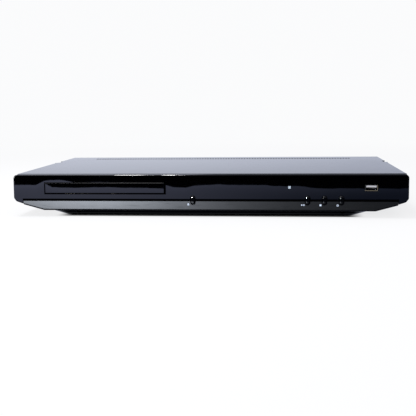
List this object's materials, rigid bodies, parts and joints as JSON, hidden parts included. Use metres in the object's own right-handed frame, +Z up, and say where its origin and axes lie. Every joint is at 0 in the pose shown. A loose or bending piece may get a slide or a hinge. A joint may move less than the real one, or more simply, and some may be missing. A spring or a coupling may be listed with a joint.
{
  "type": "blu-ray player",
  "caption": "slim full-width disc player: gloss leaning front with disc drawer, push buttons and a USB socket, sheet-metal case, rear sockets, working drawer and pickup drive",
  "frame": {"origin": "under the middle of the whole player, on the surface it stands on", "axes": "+X to the right seen from the front, +Y to the rear, +Z up"},
  "size_m": [0.4314, 0.239, 0.0468],
  "materials": {
    "belt_rubber": "black rubber belt",
    "board_green": "green lacquered glass laminate",
    "button_black": "polished black",
    "can_black": "sleeved can",
    "chassis_paint": "satin black sheet steel",
    "chip_black": "moulded package",
    "contact_gold": "gold plated contact",
    "cover_paint": "gloss black paint on sheet steel",
    "foot_rubber": "black rubber pad",
    "gear_white": "natural white acetal",
    "gloss_black": "polished black moulding",
    "inner_black": "textured black moulding",
    "jack_metal": "nickel plated brass",
    "jack_white": "moulded insert",
    "led_blue": "clear resin",
    "lens_glass": "coated lens",
    "receiver_dark": "infrared window resin",
    "ribbon_white": "flat cable film",
    "satin_black": "satin black moulding",
    "screw_black": "black zinc",
    "shell_steel": "bright plated sheet steel",
    "sink_aluminium": "milled aluminium",
    "socket_black": "black socket moulding",
    "tape_yellow": "winding tape over a dark core",
    "tongue_white": "white socket tongue",
    "window_clear": "milky clear light guide",
    "zinc_steel": "zinc plated steel"
  },
  "bodies": {
    "case": {"top_cover": "cover_paint", "bottom_chassis": "chassis_paint", "rear_panel": "chassis_paint", "gloss_panel": "gloss_black", "front_frame": "satin_black", "feet": "foot_rubber", "cover_screws": "screw_black", "loader_screws": "zinc_steel", "board_screws": "zinc_steel", "frame_screws": "zinc_steel", "front_board": "board_green", "tact_switches": "chip_black", "indicator_lens": "window_clear", "indicator_led": "led_blue", "ir_receiver": "receiver_dark", "usb_shell": "shell_steel", "usb_tongue": "tongue_white", "usb_contacts": "contact_gold", "usb_board": "board_green", "loader_base": "inner_black", "clamp_bridge": "zinc_steel", "loading_motor": "zinc_steel", "drive_belt": "belt_rubber", "main_board": "board_green", "heat_sink": "sink_aluminium", "board_chips": "chip_black", "board_pillars": "zinc_steel", "hdmi_socket": "shell_steel", "lan_socket": "shell_steel", "optical_socket": "socket_black", "av_jack_block": "socket_black", "av_jack_sleeves": "jack_metal", "av_jack_inserts": "jack_white", "power_board": "board_green", "transformer": "tape_yellow", "power_capacitors": "can_black", "mains_inlet": "socket_black", "inlet_pins": "jack_metal", "loader_ribbon": "ribbon_white", "front_ribbon": "ribbon_white"},
    "tray": {"disc_tray": "inner_black", "tray_door": "gloss_black"},
    "rack_wheel": {"rack_gear": "gear_white"},
    "pulley_wheel": {"pulley_gear": "gear_white"},
    "motor_wheel": {"motor_pulley": "gear_white"},
    "cam": {"cam_slider": "gear_white"},
    "deck": {"traverse_deck": "inner_black", "spindle_motor": "zinc_steel", "guide_rods": "shell_steel", "sled_motor": "zinc_steel"},
    "spindle": {"turntable": "inner_black"},
    "sled": {"pickup_sled": "inner_black", "objective_lens": "lens_glass"},
    "sled_screw": {"lead_screw": "shell_steel"},
    "clamp": {"clamper": "inner_black"},
    "eject_key": {"eject_button": "button_black"},
    "play_key": {"play_button": "button_black"},
    "stop_key": {"stop_button": "button_black"},
    "power_key": {"power_button": "button_black"}
  },
  "joints": [
    {"name": "tray_slide", "type": "slide", "parent": "case", "child": "tray", "axis": [0, -1, 0], "range_m": [0, 0.132]},
    {"name": "rack_wheel_spin", "type": "hinge", "parent": "case", "child": "rack_wheel", "pos_m": [-0.15735, -0.09165, 0.022], "axis": [0, 0, 1], "range_deg": [0, 1081.4]},
    {"name": "pulley_wheel_spin", "type": "hinge", "parent": "case", "child": "pulley_wheel", "pos_m": [-0.13815, -0.09965, 0.022], "axis": [0, 0, 1], "range_deg": [-3603.4, 0]},
    {"name": "motor_wheel_spin", "type": "hinge", "parent": "case", "child": "motor_wheel", "pos_m": [-0.10515, -0.09965, 0.022], "axis": [0, 0, 1], "range_deg": [-10808.3, 0]},
    {"name": "deck_tilt", "type": "hinge", "parent": "case", "child": "deck", "pos_m": [-0.11235, 0.03735, 0.024], "axis": [-1, 0, 0], "range_deg": [0, 6.2]},
    {"name": "cam_slide", "type": "slide", "parent": "case", "child": "cam", "axis": [1, 0, 0], "range_m": [0, 0.0241]},
    {"name": "turntable_spin", "type": "hinge", "parent": "deck", "child": "spindle", "pos_m": [-0.11235, -0.04616, 0.01493], "axis": [0, -0.108, 0.9942], "continuous": true},
    {"name": "sled_slide", "type": "slide", "parent": "deck", "child": "sled", "axis": [0, 0.9942, 0.108], "range_m": [0, 0.036]},
    {"name": "lead_screw_spin", "type": "hinge", "parent": "deck", "child": "sled_screw", "pos_m": [-0.08335, 0.03724, 0.02499], "axis": [0, 0.9942, 0.108], "range_deg": [0, 4322]},
    {"name": "clamper_spin", "type": "hinge", "parent": "case", "child": "clamp", "pos_m": [-0.11235, -0.04665, 0.042], "axis": [0, 0, 1], "continuous": true},
    {"name": "eject_press", "type": "slide", "parent": "case", "child": "eject_key", "axis": [0, 1, 0], "range_m": [0, 0.0007], "stiffness_N_per_m": 200, "springref_m": -0.002},
    {"name": "play_press", "type": "slide", "parent": "case", "child": "play_key", "axis": [0, 1, 0], "range_m": [0, 0.0007], "stiffness_N_per_m": 200, "springref_m": -0.002},
    {"name": "stop_press", "type": "slide", "parent": "case", "child": "stop_key", "axis": [0, 1, 0], "range_m": [0, 0.0007], "stiffness_N_per_m": 200, "springref_m": -0.002},
    {"name": "power_press", "type": "slide", "parent": "case", "child": "power_key", "axis": [0, 1, 0], "range_m": [0, 0.0007], "stiffness_N_per_m": 200, "springref_m": -0.002}
  ],
  "couplings": [
    {"joint": "rack_wheel_spin", "follows": "tray_slide", "rad_per_m": 142.86},
    {"joint": "pulley_wheel_spin", "follows": "tray_slide", "rad_per_m": -476.19},
    {"joint": "motor_wheel_spin", "follows": "tray_slide", "rad_per_m": -1428.6},
    {"joint": "cam_slide", "follows": "deck_tilt", "m_per_rad": 0.22179},
    {"joint": "lead_screw_spin", "follows": "sled_slide", "rad_per_m": 2094.4}
  ]
}
